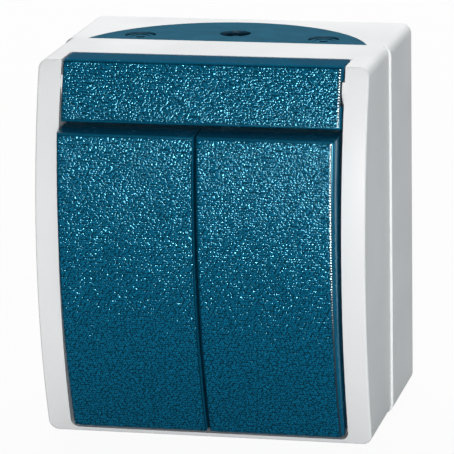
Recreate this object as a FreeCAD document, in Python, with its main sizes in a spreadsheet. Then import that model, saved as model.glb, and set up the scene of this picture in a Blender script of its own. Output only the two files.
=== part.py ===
import FreeCAD, Part
import math
import os

import Sketcher

# Surface-mounted weatherproof switch with two rockers, in millimetres.
# The back face lies in the plane Y = 0 and is centred on the origin, the front looks along -Y, Z is up.
# Depths are measured forwards from the back face, so a depth of 10 lies at Y = -10.

SIZES = {
    # housing
    "body_width": 73.0,
    "body_height": 83.0,
    "base_depth": 26.0,
    "rail_crest_depth": 56.5,
    "rail_rise": 7.0,
    "corner_radius": 2.2,
    "base_wall": 3.0,
    "base_floor": 2.5,
    "cavity_radius": 1.0,
    "seam_step": 0.5,
    "frame_wall": 2.0,
    "edge_round": 0.5,
    # seam between base and frame
    "groove_inset": 0.8,
    "groove_width": 1.4,
    "groove_depth": 1.6,
    "gasket_height": 0.8,
    "gasket_clearance": 0.1,
    "tongue_clearance": 0.15,
    # rails, web and window of the frame
    "rail_width": 5.1,
    "rail_inner_wall": 1.5,
    "web_inset": 7.5,
    "web_wall": 1.6,
    "lip_wall": 0.95,
    "window_radius": 1.8,
    "divider_wall": 1.2,
    "divider_gap": 0.6,
    "divider_setback": 1.1,
    # hooks at the lower edge of the frame
    "hook_offset": 18.0,
    "hook_width": 6.0,
    "hook_wall": 1.4,
    "hook_reach": 5.0,
    "hook_nose": 0.7,
    "hook_nose_length": 2.4,
    "hook_clearance": 0.15,
    "hook_root": 5.0,
    # cable entry seal
    "seal_side_gap": 5.3,
    "seal_floor_gap": 3.7,
    "seal_clearance": 0.1,
    "flange_wall": 1.2,
    "flange_margin": 1.0,
    "entry_radius": 3.45,
    "entry_recess": 1.3,
    "entry_membrane": 0.8,
    "entry_pip_radius": 0.9,
    "entry_pip_share": 0.46,
    "entry_wall": 1.0,
    "entry_sleeve": 2.2,
    "side_entry_recess": 0.45,
    "side_entry_ring": 2.5,
    "side_entry_ring_wall": 0.45,
    "side_entry_spread": 0.66,
    "side_entry_share": 0.792,
    "middle_entry_share": 0.638,
    # cover flap
    "flap_leg": 2.2,
    "flap_skin": 2.0,
    "flap_height": 13.0,
    "flap_side_gap": 0.35,
    "flap_rear_gap": 0.35,
    "flap_recess": 2.1,
    "flap_round": 1.2,
    "flap_edge_round": 0.55,
    "flap_pin_radius": 0.7,
    "flap_pin_length": 1.3,
    "pin_clearance": 0.05,
    "lug_drop": 3.3,
    "lug_height": 4.6,
    "lug_reach": 0.6,
    "lug_inset": 0.3,
    "lug_slope_share": 0.48,
    "notch_clearance": 0.3,
    # rockers
    "pivot_inset": 6.5,
    "pivot_drop": 6.8,
    "rocker_top_gap": 0.8,
    "rocker_bottom_gap": 0.5,
    "rocker_proud": 2.5,
    "rocker_tilt": 4.0,
    "rocker_back_gap": 2.8,
    "rocker_side_gap": 0.7,
    "split_gap": 0.45,
    "rocker_skin": 2.2,
    "rocker_skirt": 1.5,
    "rocker_edge_round": 0.7,
    "rocker_outer_corner": 1.5,
    "rocker_inner_corner": 0.7,
    "stud_radius": 1.25,
    "stud_length": 1.4,
    "ear_wall": 1.6,
    "ear_margin": 1.2,
    "ear_gap": 0.4,
    "ear_inset": 1.2,
    "pusher_offset": 12.0,
    "pusher_width": 5.0,
    "pusher_height": 4.0,
    "pusher_tip_gap": 1.3,
    "pusher_clearance": 1.0,
    # soft sheet behind the web
    "membrane_wall": 0.8,
    "membrane_inset": 2.0,
    "membrane_half_height": 18.0,
    # screws of the frame
    "frame_screw_inset": 4.9,
    "frame_screw_drop": 8.1,
    "frame_screw_radius": 1.5,
    "frame_screw_head_radius": 2.8,
    "frame_screw_head": 2.0,
    "frame_screw_length": 30.0,
    "screw_slot": 0.8,
    "screw_slot_depth": 1.0,
    "screw_clearance": 0.05,
    "screw_pass": 0.25,
    "boss_radius": 2.8,
    "post_gap": 0.2,
    # fixing to the wall
    "wall_hole_radius": 2.2,
    "wall_hole_spacing": 60.0,
    "wall_hole_drop": 4.0,
    # switch block
    "insert_seat": 5.5,
    "insert_share": 0.5616,
    "insert_side_gap": 9.5,
    "insert_low": 28.8,
    "insert_high": 19.2,
    "insert_floor": 2.0,
    "pole_share": 0.5417,
    "chamber_half_width": 8.0,
    "chamber_low": 25.8,
    "chamber_high": 9.2,
    "insert_ear_reach": 6.0,
    "insert_ear_wall": 3.0,
    "insert_ear_half_height": 4.0,
    "insert_screw_radius": 1.4,
    "insert_screw_head_radius": 2.5,
    "insert_screw_head": 1.8,
    "insert_screw_length": 5.5,
    "pad_radius": 2.5,
    "pad_high": 13.0,
    "pad_low": 24.0,
    # terminals
    "strip_wall": 1.2,
    "strip_seat": 0.1,
    "strip_half_width": 2.6,
    "strip_cross_reach": 3.0,
    "strip_cross_height": 2.4,
    "channel_clearance": 0.4,
    "terminal_half_width": 3.8,
    "terminal_low": 10.9,
    "terminal_high": 17.5,
    "terminal_share": 0.3315,
    "terminal_spread": 0.625,
    "terminal_clearance": 0.2,
    "wire_radius": 1.6,
    "terminal_screw_radius": 1.4,
    "terminal_screw_head_radius": 2.6,
    "terminal_screw_head": 1.8,
    "terminal_screw_share": 0.6,
    "access_radius": 3.2,
    "contact_low": 4.5,
    "contact_half_width": 3.0,
    "contact_gap": 0.1,
    # contact levers
    "fulcrum_share": 0.2603,
    "fulcrum_gap": 0.15,
    "fulcrum_wall": 1.0,
    "lever_arm": 14.0,
    "lever_wall": 1.0,
    "lever_bend": 1.0,
    "lever_flat": 1.0,
    "lever_half_width": 4.0,
    "lever_tilt": 6.0,
    # bridge and cradles
    "bridge_wall": 2.0,
    "cradle_share": 0.7534,
    "cradle_half_width": 6.0,
    "cradle_bar_front": 6.8,
    "cradle_bar_wall": 2.5,
    "cradle_bar_half": 15.0,
    "cradle_column_half": 4.0,
    "cradle_window_gap": 1.2,
    "cradle_stud_radius": 1.5,
    "cradle_stud_length": 1.4,
    "cradle_ear_gap": 0.4,
    "cradle_ear_wall": 1.6,
    "cradle_ear_margin": 1.5,
    # plungers and their springs
    "plunger_radius": 2.0,
    "plunger_clearance": 0.05,
    "plunger_length": 10.85,
    "plunger_neck": 3.85,
    "plunger_show": 5.85,
    "plunger_gap": 0.15,
    "plunger_tip_radius": 1.2,
    "spring_seat": 2.0,
    "spring_radius": 1.5,
    "spring_wire": 0.3,
    "spring_pitch": 1.36,
}

doc = FreeCAD.newDocument("weatherproof_switch")
sheet = doc.addObject("Spreadsheet::Sheet", "Sizes")


class Size:
    """A length or angle that is known as a number and as the sheet formula behind it."""

    def __init__(self, number, formula):
        self.number = number
        self.formula = formula

    def __add__(self, other):
        other = as_size(other)
        return Size(self.number + other.number, f"({self.formula} + {other.formula})")

    def __sub__(self, other):
        other = as_size(other)
        return Size(self.number - other.number, f"({self.formula} - {other.formula})")

    def __mul__(self, other):
        other = as_size(other)
        return Size(self.number * other.number, f"({self.formula} * {other.formula})")

    def __truediv__(self, other):
        other = as_size(other)
        return Size(self.number / other.number, f"({self.formula} / {other.formula})")

    def __neg__(self):
        return Size(-self.number, f"(-1 * {self.formula})")


def as_size(item):
    """A plain number becomes a size with itself as formula."""
    return item if isinstance(item, Size) else Size(float(item), f"({float(item)})")


def root(size):
    """Square root of a size."""
    return Size(math.sqrt(size.number), f"sqrt({size.formula})")


class SizeTable:
    """The sheet's sizes by name."""


S = SizeTable()
for row, (name, amount) in enumerate(SIZES.items(), 1):
    sheet.set(f"A{row}", name)
    sheet.set(f"B{row}", str(amount))
    sheet.setAlias(f"B{row}", name)
    setattr(S, name, Size(amount, f"Sizes.{name}"))
doc.recompute()

# Sizes that follow from the driving ones
half_width = S.body_width / 2
half_height = S.body_height / 2
frame_half_width = half_width - S.seam_step
frame_half_height = half_height
frame_inner_height = half_height - S.seam_step - S.frame_wall
window_half = frame_half_width - S.rail_width
rail_end_depth = S.rail_crest_depth - S.rail_rise
web_depth = rail_end_depth - S.web_inset
web_front = web_depth + S.web_wall
lip_top = S.lip_wall - frame_half_height
rail_radius = (frame_half_height * frame_half_height + S.rail_rise * S.rail_rise) / (S.rail_rise * 2)
rail_centre = rail_radius - S.rail_crest_depth
seal_half_chord = half_width - S.seal_side_gap
seal_sagitta = S.base_depth - S.seal_floor_gap
flap_half = window_half - S.flap_side_gap
flap_low = frame_half_height - S.flap_height
lug_high = frame_half_height - S.lug_drop
lug_low = lug_high - S.lug_height
divider_depth = rail_end_depth - S.divider_setback
frame_screw_offset = window_half - S.frame_screw_inset
frame_screw_height = frame_half_height - S.frame_screw_drop
flap_bead = S.flap_leg / 2
flap_axis_depth = web_front - S.flap_recess + S.flap_rear_gap + flap_bead
flap_axis_height = frame_half_height - flap_bead
recess_low = frame_half_height - S.flap_leg - S.flap_rear_gap
pivot_depth = S.rail_crest_depth - S.pivot_inset
rocker_top_reach = flap_low - S.rocker_top_gap + S.pivot_drop
rocker_bottom_reach = -lip_top - S.rocker_bottom_gap - S.pivot_drop
rocker_back_depth = web_front + S.rocker_back_gap
pusher_tip_depth = web_depth + S.pusher_tip_gap
rocker_outer = window_half - S.rocker_side_gap
rocker_inner = S.split_gap / 2
rocker_radius = rail_radius + S.rocker_proud
ear_radius = S.stud_radius + S.ear_margin
outer_ear_far = rocker_outer - S.rocker_skirt - S.ear_inset
inner_ear_near = rocker_inner + S.rocker_skirt + S.ear_inset
block_room = web_depth - S.insert_seat
block_floor = S.insert_seat + S.insert_floor
insert_front = S.insert_seat + block_room * S.insert_share
insert_half_width = half_width - S.base_wall - S.insert_side_gap
pole_offset = insert_half_width * S.pole_share
terminal_offset = insert_half_width * S.terminal_spread
terminal_front = S.insert_seat + block_room * S.terminal_share
terminal_screw_length = (terminal_front - block_floor) * S.terminal_screw_share
strip_cross_half = pole_offset + S.strip_cross_reach
fulcrum_depth = S.insert_seat + block_room * S.fulcrum_share
cradle_depth = S.insert_seat + block_room * S.cradle_share
plunger_tip_reach = cradle_depth - fulcrum_depth - S.lever_wall - S.plunger_gap
plunger_front = plunger_tip_reach - S.plunger_length
plunger_shoulder = plunger_tip_reach - S.plunger_neck
cradle_column_rear = plunger_tip_reach - S.plunger_show
spring_length = plunger_front + S.spring_seat
membrane_half_width = insert_half_width - S.membrane_inset
cradle_ear_near = S.cradle_half_width + S.cradle_ear_gap
cradle_ear_radius = S.cradle_stud_radius + S.cradle_ear_margin
bridge_front = insert_front + S.bridge_wall
wall_inside = half_height - S.base_wall
insert_ear_centre = insert_half_width + S.insert_ear_reach / 2


def rail_depth_line(height, inset):
    """Y of the rails' arc at a height, moved inwards by an inset."""
    reach = rail_radius - inset
    return rail_centre - root(reach * reach - height * height)


def lug_foot_line():
    """Y of the lug's lower front edge, clear of the circle that the opening flap runs on."""
    notch_low = lug_low - S.notch_clearance
    ahead = rail_depth_line(notch_low, S.flap_skin) + flap_axis_depth
    below = flap_axis_height - notch_low
    reach = root(ahead * ahead + below * below) - S.notch_clearance
    drop = flap_axis_height - lug_low
    return -flap_axis_depth - root(reach * reach - drop * drop)


# Drawing helpers


def bind(item, name, size):
    """Tie a property to the sheet."""
    item.setExpression(name, as_size(size).formula)


def new_body(label):
    """Start a body with a label of its own."""
    body = doc.addObject("PartDesign::Body", label)
    body.Label = label
    return body


def new_sketch(body, role, offset):
    """Start a sketch on one of the body's own planes, moved along its normal."""
    sketch = body.newObject("Sketcher::SketchObject", "sketch")
    plane = next(item for item in body.Origin.OriginFeatures if item.Role == role)
    sketch.AttachmentSupport = [(plane, "")]
    sketch.MapMode = "FlatFace"
    bind(sketch, "AttachmentOffset.Base.z", offset)
    return sketch


def fix_point(sketch, edge, end, across, along):
    """Hold one end of an edge at a place measured from the sketch's origin."""
    for kind, axis, size in (("DistanceX", -2, across), ("DistanceY", -1, along)):
        size = as_size(size)
        if abs(size.number) < 1e-9:
            sketch.addConstraint(Sketcher.Constraint("PointOnObject", edge, end, axis))
        else:
            index = sketch.addConstraint(Sketcher.Constraint(kind, -1, 1, edge, end, size.number))
            bind(sketch, f"Constraints[{index}]", size)


def outline(sketch, points, arcs=None):
    """Draw a closed outline through points; arcs gives an edge's radius, negative where it turns right."""
    arcs = arcs or {}
    points = [(as_size(across), as_size(along)) for across, along in points]
    spots = [FreeCAD.Vector(across.number, along.number, 0) for across, along in points]
    first = sketch.GeometryCount
    starts = []
    ends = []
    for index, spot in enumerate(spots):
        following = spots[(index + 1) % len(spots)]
        if index not in arcs:
            sketch.addGeometry(Part.LineSegment(spot, following))
            starts.append(1)
            ends.append(2)
            continue
        radius = as_size(arcs[index])
        left_turn = radius.number > 0
        begin, finish = (spot, following) if left_turn else (following, spot)
        reach = abs(radius.number)
        chord = finish - begin
        rise = math.sqrt(max(reach ** 2 - (chord.Length / 2) ** 2, 0))
        normal = FreeCAD.Vector(-chord.y, chord.x, 0).normalize()
        centre = (begin + finish) * 0.5 + normal * rise
        low = math.atan2(begin.y - centre.y, begin.x - centre.x)
        high = math.atan2(finish.y - centre.y, finish.x - centre.x)
        high = high if high > low else high + 2 * math.pi
        circle = Part.Circle(centre, FreeCAD.Vector(0, 0, 1), reach)
        edge = sketch.addGeometry(Part.ArcOfCircle(circle, low, high))
        size = radius if left_turn else -radius
        number = sketch.addConstraint(Sketcher.Constraint("Radius", edge, size.number))
        bind(sketch, f"Constraints[{number}]", size)
        starts.append(1 if left_turn else 2)
        ends.append(2 if left_turn else 1)
    for index, (across, along) in enumerate(points):
        before = (index - 1) % len(points)
        sketch.addConstraint(Sketcher.Constraint(
            "Coincident", first + before, ends[before], first + index, starts[index]))
        fix_point(sketch, first + index, starts[index], across, along)


def rectangle(sketch, left, right, low, high):
    """Draw a plain rectangle."""
    outline(sketch, [(left, low), (right, low), (right, high), (left, high)])


def rounded_rectangle(sketch, half_across, half_along, radius):
    """Draw a rectangle about the origin with round corners."""
    across, along = as_size(half_across), as_size(half_along)
    near_x, near_y = across - radius, along - radius
    outline(sketch, [
        (-near_x, -along), (near_x, -along), (across, -near_y), (across, near_y),
        (near_x, along), (-near_x, along), (-across, near_y), (-across, -near_y),
    ], {1: radius, 3: radius, 5: radius, 7: radius})


def circle(sketch, across, along, radius):
    """Draw a circle."""
    across, along, radius = as_size(across), as_size(along), as_size(radius)
    centre = FreeCAD.Vector(across.number, along.number, 0)
    edge = sketch.addGeometry(Part.Circle(centre, FreeCAD.Vector(0, 0, 1), radius.number))
    number = sketch.addConstraint(Sketcher.Constraint("Radius", edge, radius.number))
    bind(sketch, f"Constraints[{number}]", radius)
    fix_point(sketch, edge, 3, across, along)


def add_feature(body, kind, sketch, length, reverse):
    """Run a sketch into or out of the body."""
    feature = body.newObject(f"PartDesign::{kind}", kind.lower())
    feature.Profile = sketch
    bind(feature, "Length", length)
    feature.Reversed = reverse
    return feature


def pad(body, sketch, length, reverse=False):
    """Add material along the sketch's normal, or against it in reverse."""
    return add_feature(body, "Pad", sketch, length, reverse)


def pocket(body, sketch, length, reverse=False):
    """Remove material against the sketch's normal, or along it in reverse, and see that it did."""
    doc.recompute()
    before = body.Shape.Volume
    feature = add_feature(body, "Pocket", sketch, length, reverse)
    doc.recompute()
    if not body.Shape.Volume < before:
        raise RuntimeError(f"{body.Label}: a pocket removes nothing")
    return feature


def revolve(body, sketch):
    """Turn a sketch once about its horizontal axis."""
    feature = body.newObject("PartDesign::Revolution", "revolution")
    feature.Profile = sketch
    feature.ReferenceAxis = (sketch, ["H_Axis"])
    feature.Angle = 360
    return feature


def fillet(body, radius, chosen):
    """Round the edges of the body so far that a test picks out."""
    doc.recompute()
    base = body.Tip
    names = [f"Edge{number}" for number, edge in enumerate(base.Shape.Edges, 1) if chosen(edge)]
    feature = body.newObject("PartDesign::Fillet", "fillet")
    feature.Base = (base, names)
    bind(feature, "Radius", radius)
    doc.recompute()
    return feature


def runs_along(edge, axis):
    """Whether an edge is a straight line along an axis, 0 for X, 1 for Y and 2 for Z."""
    box = edge.BoundBox
    lengths = (box.XLength, box.YLength, box.ZLength)
    others = [length for number, length in enumerate(lengths) if number != axis]
    return lengths[axis] > 1e-4 and max(others) < 1e-4


def bounds_big_arc(shape, radius):
    """A test for the edges round the cylinder face of a given radius."""
    faces = [face for face in shape.Faces
             if isinstance(face.Surface, Part.Cylinder) and abs(face.Surface.Radius - radius.number) < 1e-3]
    rims = [edge for face in faces for edge in face.Edges]
    return lambda edge: any(edge.isSame(rim) for rim in rims)


def span(side, near, far):
    """Where a stretch from near to far starts on one side of the middle, and its length."""
    near, far = as_size(near), as_size(far)
    return (near if side > 0 else -far), far - near


def tab_points(back, front, middle, radius):
    """A tab from a back line to a round end at a front line, with the arcs of its end."""
    points = [(back, middle + radius), (front, middle + radius), (front - radius, middle),
              (front, middle - radius), (back, middle - radius)]
    return points, {1: radius, 2: radius}


def place(item, across, depth, height, tilt=None):
    """Set a sub-part's placement, with a tilt about X where it has one."""
    turn = FreeCAD.Rotation(FreeCAD.Vector(1, 0, 0), as_size(tilt or 0).number or 1)
    item.Placement = FreeCAD.Placement(FreeCAD.Vector(0, 0, 0), turn)
    bind(item, "Placement.Base.x", across)
    bind(item, "Placement.Base.y", -as_size(depth))
    bind(item, "Placement.Base.z", height)
    bind(item, "Placement.Rotation.Angle", tilt or 0)


SIDES = {"left": -1, "right": 1}
parts = {}


# Base box: tray with a grooved rim, a D-shaped cut for the seal, bosses and holes


def entry_places():
    """The three cable entries, as X and Y."""
    aside = seal_half_chord * S.side_entry_spread
    side_depth = S.base_depth * S.side_entry_share
    return [(-aside, -side_depth), (0, -S.base_depth * S.middle_entry_share), (aside, -side_depth)]


def seal_outline(sketch, growth, front_depth):
    """The D of the seal: one arc, closed by a straight front edge, grown by a margin."""
    chord, sagitta = seal_half_chord, seal_sagitta
    radius = (chord * chord + sagitta * sagitta) / (sagitta * 2)
    centre = sagitta - S.base_depth - radius
    grown = radius + growth
    drop = -S.base_depth - centre
    reach = root(grown * grown - drop * drop)
    points = [(-reach, -front_depth), (reach, -front_depth)]
    if front_depth is not S.base_depth:
        points += [(reach, -S.base_depth), (-reach, -S.base_depth)]
    outline(sketch, points, {len(points) // 2: grown})


def ring(sketch, outer_inset, inner_inset):
    """Two round-cornered loops that follow the rim."""
    for inset in (outer_inset, inner_inset):
        corner = S.corner_radius - inset + S.base_wall / 4
        rounded_rectangle(sketch, half_width - inset, half_height - inset, corner)


def make_base_box():
    body = new_body("base_box")
    sketch = new_sketch(body, "XZ_Plane", 0)
    rounded_rectangle(sketch, half_width, half_height, S.corner_radius)
    pad(body, sketch, S.base_depth)
    sketch = new_sketch(body, "XZ_Plane", S.base_depth)
    rounded_rectangle(sketch, half_width - S.base_wall, wall_inside, S.cavity_radius)
    pocket(body, sketch, S.base_depth - S.base_floor)
    sketch = new_sketch(body, "XZ_Plane", S.base_depth)
    ring(sketch, S.groove_inset, S.groove_inset + S.groove_width)
    pocket(body, sketch, S.groove_depth)
    sketch = new_sketch(body, "XY_Plane", half_height)
    seal_outline(sketch, 0, S.base_depth + S.base_wall)
    pocket(body, sketch, S.base_wall)
    sketch = new_sketch(body, "XZ_Plane", S.base_floor)
    for sign in SIDES.values():
        circle(sketch, frame_screw_offset * sign, frame_screw_height, S.boss_radius)
    pad(body, sketch, S.base_depth - S.base_floor - S.post_gap)
    sketch = new_sketch(body, "XZ_Plane", S.base_floor)
    for sign in SIDES.values():
        circle(sketch, insert_ear_centre * sign, -S.pivot_drop, S.insert_ear_reach / 2)
        circle(sketch, terminal_offset * sign, S.pad_high, S.pad_radius)
        circle(sketch, terminal_offset * sign, -S.pad_low, S.pad_radius)
    pad(body, sketch, S.insert_seat - S.base_floor)
    sketch = new_sketch(body, "XZ_Plane", S.base_depth)
    for sign in SIDES.values():
        bore = S.frame_screw_radius + S.screw_clearance
        circle(sketch, frame_screw_offset * sign, frame_screw_height, bore)
    screw_end = web_front - S.frame_screw_length
    pocket(body, sketch, S.base_depth - screw_end + S.screw_pass)
    sketch = new_sketch(body, "XZ_Plane", S.insert_seat)
    for sign in SIDES.values():
        circle(sketch, insert_ear_centre * sign, -S.pivot_drop, S.insert_screw_radius + S.screw_clearance)
    pocket(body, sketch, S.insert_screw_length - S.insert_ear_wall + S.screw_pass)
    sketch = new_sketch(body, "XZ_Plane", S.base_floor)
    for sign in SIDES.values():
        circle(sketch, 0, S.wall_hole_spacing * sign / 2 - S.wall_hole_drop, S.wall_hole_radius)
    pocket(body, sketch, S.base_floor)
    sketch = new_sketch(body, "XY_Plane", -wall_inside)
    nose_end = S.base_depth - S.hook_reach
    for sign in SIDES.values():
        left, width = span(sign, S.hook_offset - S.hook_width / 2 - S.hook_clearance,
                           S.hook_offset + S.hook_width / 2 + S.hook_clearance)
        rectangle(sketch, left, left + width,
                  -nose_end - S.hook_nose_length - S.hook_clearance, -nose_end + S.hook_clearance)
    pocket(body, sketch, S.hook_nose + S.hook_clearance)
    return body


# Cable entry seal: soft D-shaped plug with an inner flange and three pierceable entries


def make_cable_entry_seal():
    body = new_body("cable_entry_seal")
    sketch = new_sketch(body, "XY_Plane", wall_inside)
    seal_outline(sketch, -S.seal_clearance, S.base_depth)
    pad(body, sketch, S.base_wall)
    sketch = new_sketch(body, "XY_Plane", wall_inside)
    seal_outline(sketch, S.flange_margin, S.base_depth)
    pad(body, sketch, S.flange_wall, reverse=True)
    sketch = new_sketch(body, "XY_Plane", wall_inside)
    for across, along in entry_places():
        circle(sketch, across, along, S.entry_radius + S.entry_wall)
    pad(body, sketch, S.entry_sleeve, reverse=True)
    left, middle, right = entry_places()
    for places, recess in (([middle], S.entry_recess), ([left, right], S.side_entry_recess)):
        sketch = new_sketch(body, "XY_Plane", half_height)
        for across, along in places:
            circle(sketch, across, along, S.entry_radius)
        pocket(body, sketch, recess)
        sketch = new_sketch(body, "XY_Plane", wall_inside - S.entry_sleeve)
        for across, along in places:
            circle(sketch, across, along, S.entry_radius - S.seal_clearance)
        pocket(body, sketch, S.base_wall + S.entry_sleeve - recess - S.entry_membrane, reverse=True)
        sketch = new_sketch(body, "XY_Plane", half_height - recess)
        for across, along in places:
            circle(sketch, across, along, S.entry_pip_radius)
        pad(body, sketch, recess * S.entry_pip_share)
    sketch = new_sketch(body, "XY_Plane", half_height - S.side_entry_recess)
    for across, along in (left, right):
        circle(sketch, across, along, S.side_entry_ring)
        circle(sketch, across, along, S.side_entry_ring - S.side_entry_ring_wall)
    pad(body, sketch, S.side_entry_recess * S.entry_pip_share)
    sketch = new_sketch(body, "YZ_Plane", half_width)
    rectangle(sketch, -S.base_depth - S.groove_depth, S.groove_depth - S.base_depth,
              half_height - S.groove_inset - S.groove_width, half_height - S.groove_inset)
    pocket(body, sketch, S.body_width)
    return body


def make_rim_gasket():
    body = new_body("rim_gasket")
    sketch = new_sketch(body, "XZ_Plane", S.base_depth - S.groove_depth)
    ring(sketch, S.groove_inset + S.gasket_clearance, S.groove_inset + S.groove_width - S.gasket_clearance)
    pad(body, sketch, S.gasket_height)
    return body


# Front frame: arched shell with hollow side rails, an inner web, bearings, lugs, posts and hooks


def make_front_frame():
    body = new_body("front_frame")
    sketch = new_sketch(body, "YZ_Plane", -frame_half_width)
    outline(sketch, [(-S.base_depth, -frame_half_height), (-S.base_depth, frame_half_height),
                     (-rail_end_depth, frame_half_height), (-rail_end_depth, -frame_half_height)],
            {2: rail_radius})
    pad(body, sketch, frame_half_width * 2)
    fillet(body, S.corner_radius, lambda edge: runs_along(edge, 1))
    fillet(body, S.edge_round, bounds_big_arc(body.Tip.Shape, rail_radius))
    sketch = new_sketch(body, "XZ_Plane", S.base_depth)
    rounded_rectangle(sketch, frame_half_width - S.frame_wall, frame_inner_height, S.cavity_radius)
    pocket(body, sketch, web_depth - S.base_depth, reverse=True)
    front = S.rail_crest_depth + S.frame_wall
    sketch = new_sketch(body, "XZ_Plane", front)
    turn = S.window_radius
    outline(sketch, [(turn - window_half, lip_top), (window_half - turn, lip_top),
                     (window_half, lip_top + turn), (window_half, half_height + S.frame_wall),
                     (-window_half, half_height + S.frame_wall), (-window_half, lip_top + turn)],
            {1: turn, 5: turn})
    pocket(body, sketch, front - web_front)
    sketch = new_sketch(body, "XZ_Plane", web_depth)
    for sign in SIDES.values():
        left, width = span(sign, window_half + S.rail_inner_wall, frame_half_width - S.frame_wall)
        reach = frame_inner_height - S.cavity_radius
        rectangle(sketch, left, left + width, -reach, reach)
    pocket(body, sketch, rail_end_depth - S.frame_wall - web_depth, reverse=True)
    add_frame_inside(body)
    add_frame_seam(body)
    return body


def add_frame_inside(body):
    """Divider, lugs, rocker bearings, screw posts and the openings of the web."""
    sketch = new_sketch(body, "XZ_Plane", web_front)
    divider_low = flap_low + S.divider_gap
    rectangle(sketch, -window_half, window_half, divider_low, divider_low + S.divider_wall)
    pad(body, sketch, divider_depth - web_front)
    sketch = new_sketch(body, "XZ_Plane", web_depth)
    backing_low = recess_low - S.web_wall
    rectangle(sketch, -window_half, window_half, backing_low, frame_half_height - S.frame_wall / 2)
    pad(body, sketch, S.flap_recess, reverse=True)
    sketch = new_sketch(body, "XZ_Plane", web_front)
    rectangle(sketch, -window_half, window_half, recess_low, half_height + S.frame_wall)
    pocket(body, sketch, S.flap_recess)
    for sign in SIDES.values():
        start, width = span(sign, window_half - S.lug_reach, window_half)
        sketch = new_sketch(body, "YZ_Plane", start)
        shoulder = lug_low + S.lug_height * S.lug_slope_share
        outline(sketch, [(-web_front, lug_high), (-web_front, lug_low), (lug_foot_line(), lug_low),
                         (rail_depth_line(shoulder, S.lug_inset), shoulder),
                         (rail_depth_line(lug_high, S.lug_inset), lug_high)], {})
        pad(body, sketch, width)
    for sign in SIDES.values():
        for near, far in ((outer_ear_far - S.ear_wall, outer_ear_far),
                          (inner_ear_near, inner_ear_near + S.ear_wall)):
            start, length = span(sign, near, far)
            sketch = new_sketch(body, "YZ_Plane", start)
            outline(sketch, *tab_points(-web_front, -pivot_depth, -S.pivot_drop, ear_radius))
            circle(sketch, -pivot_depth, -S.pivot_drop, S.stud_radius + S.pin_clearance)
            pad(body, sketch, length)
    sketch = new_sketch(body, "XZ_Plane", web_depth)
    for sign in SIDES.values():
        circle(sketch, frame_screw_offset * sign, frame_screw_height, S.boss_radius)
    pad(body, sketch, web_depth - S.base_depth, reverse=True)
    sketch = new_sketch(body, "XZ_Plane", web_front)
    for sign in SIDES.values():
        circle(sketch, frame_screw_offset * sign, frame_screw_height, S.frame_screw_radius + S.screw_pass)
    pocket(body, sketch, web_front - S.base_depth)
    sketch = new_sketch(body, "XZ_Plane", web_front)
    for sign in SIDES.values():
        for level in (S.pusher_offset - S.pivot_drop, -S.pusher_offset - S.pivot_drop):
            left, width = span(sign, pole_offset - S.pusher_width / 2 - S.pusher_clearance,
                               pole_offset + S.pusher_width / 2 + S.pusher_clearance)
            tall = S.pusher_height / 2 + S.pusher_clearance
            rectangle(sketch, left, left + width, level - tall, level + tall)
    pocket(body, sketch, S.web_wall)
    for start in (window_half + S.rail_inner_wall, -window_half):
        sketch = new_sketch(body, "YZ_Plane", start)
        circle(sketch, -flap_axis_depth, flap_axis_height, S.flap_pin_radius + S.pin_clearance)
        pocket(body, sketch, S.rail_inner_wall)


def add_frame_seam(body):
    """Tongue that presses the gasket, and the two hooks of the lower edge."""
    sketch = new_sketch(body, "XZ_Plane", S.base_depth)
    ring(sketch, S.groove_inset + S.tongue_clearance, S.groove_inset + S.groove_width - S.tongue_clearance)
    pad(body, sketch, S.groove_depth - S.gasket_height, reverse=True)
    tab_low = S.hook_clearance - wall_inside
    tab_high = tab_low + S.hook_wall
    nose_end = S.base_depth - S.hook_reach
    for sign in SIDES.values():
        left, width = span(sign, S.hook_offset - S.hook_width / 2, S.hook_offset + S.hook_width / 2)
        sketch = new_sketch(body, "XZ_Plane", S.base_depth)
        rectangle(sketch, left, left + width, -frame_inner_height, tab_high)
        pad(body, sketch, S.hook_root)
        sketch = new_sketch(body, "XZ_Plane", S.base_depth)
        rectangle(sketch, left, left + width, tab_low, tab_high)
        pad(body, sketch, S.hook_reach, reverse=True)
        sketch = new_sketch(body, "XZ_Plane", nose_end)
        rectangle(sketch, left, left + width, -wall_inside - S.hook_nose, tab_high)
        pad(body, sketch, S.hook_nose_length)


# Cover flap: arched skin with a top leg that ends in the hinge bead


def make_cover_flap():
    body = new_body("cover_flap")
    top = frame_half_height
    inner_top = top - S.flap_leg
    sketch = new_sketch(body, "YZ_Plane", -flap_half)
    outline(sketch, [
        (-flap_axis_depth, top), (-rail_end_depth, top),
        (rail_depth_line(flap_low, 0), flap_low), (rail_depth_line(flap_low, S.flap_skin), flap_low),
        (rail_depth_line(inner_top, S.flap_skin), inner_top), (-flap_axis_depth, inner_top),
        (flap_bead - flap_axis_depth, flap_axis_height),
    ], {1: rail_radius, 3: S.flap_skin - rail_radius, 5: flap_bead, 6: flap_bead})
    pad(body, sketch, flap_half * 2)
    fillet(body, S.flap_round, lambda edge: runs_along(edge, 0)
           and abs(edge.BoundBox.YMin + rail_end_depth.number) < 1e-3
           and abs(edge.BoundBox.ZMin - top.number) < 1e-3)
    fillet(body, S.flap_edge_round, bounds_big_arc(body.Tip.Shape, rail_radius))
    sketch = new_sketch(body, "XZ_Plane", S.rail_crest_depth)
    for sign in SIDES.values():
        left, width = span(sign, window_half - S.lug_reach - S.notch_clearance, window_half)
        rectangle(sketch, left, left + width, lug_low - S.notch_clearance, lug_high + S.notch_clearance)
    pocket(body, sketch, S.rail_crest_depth - web_front)
    for sign in SIDES.values():
        start, length = span(sign, flap_half - S.flap_pin_length, flap_half + S.flap_pin_length)
        sketch = new_sketch(body, "YZ_Plane", start)
        circle(sketch, -flap_axis_depth, flap_axis_height, S.flap_pin_radius)
        pad(body, sketch, length)
    return body


# Rockers: hollow arched caps with bearing studs and two pushers, drawn about the pivot


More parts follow.
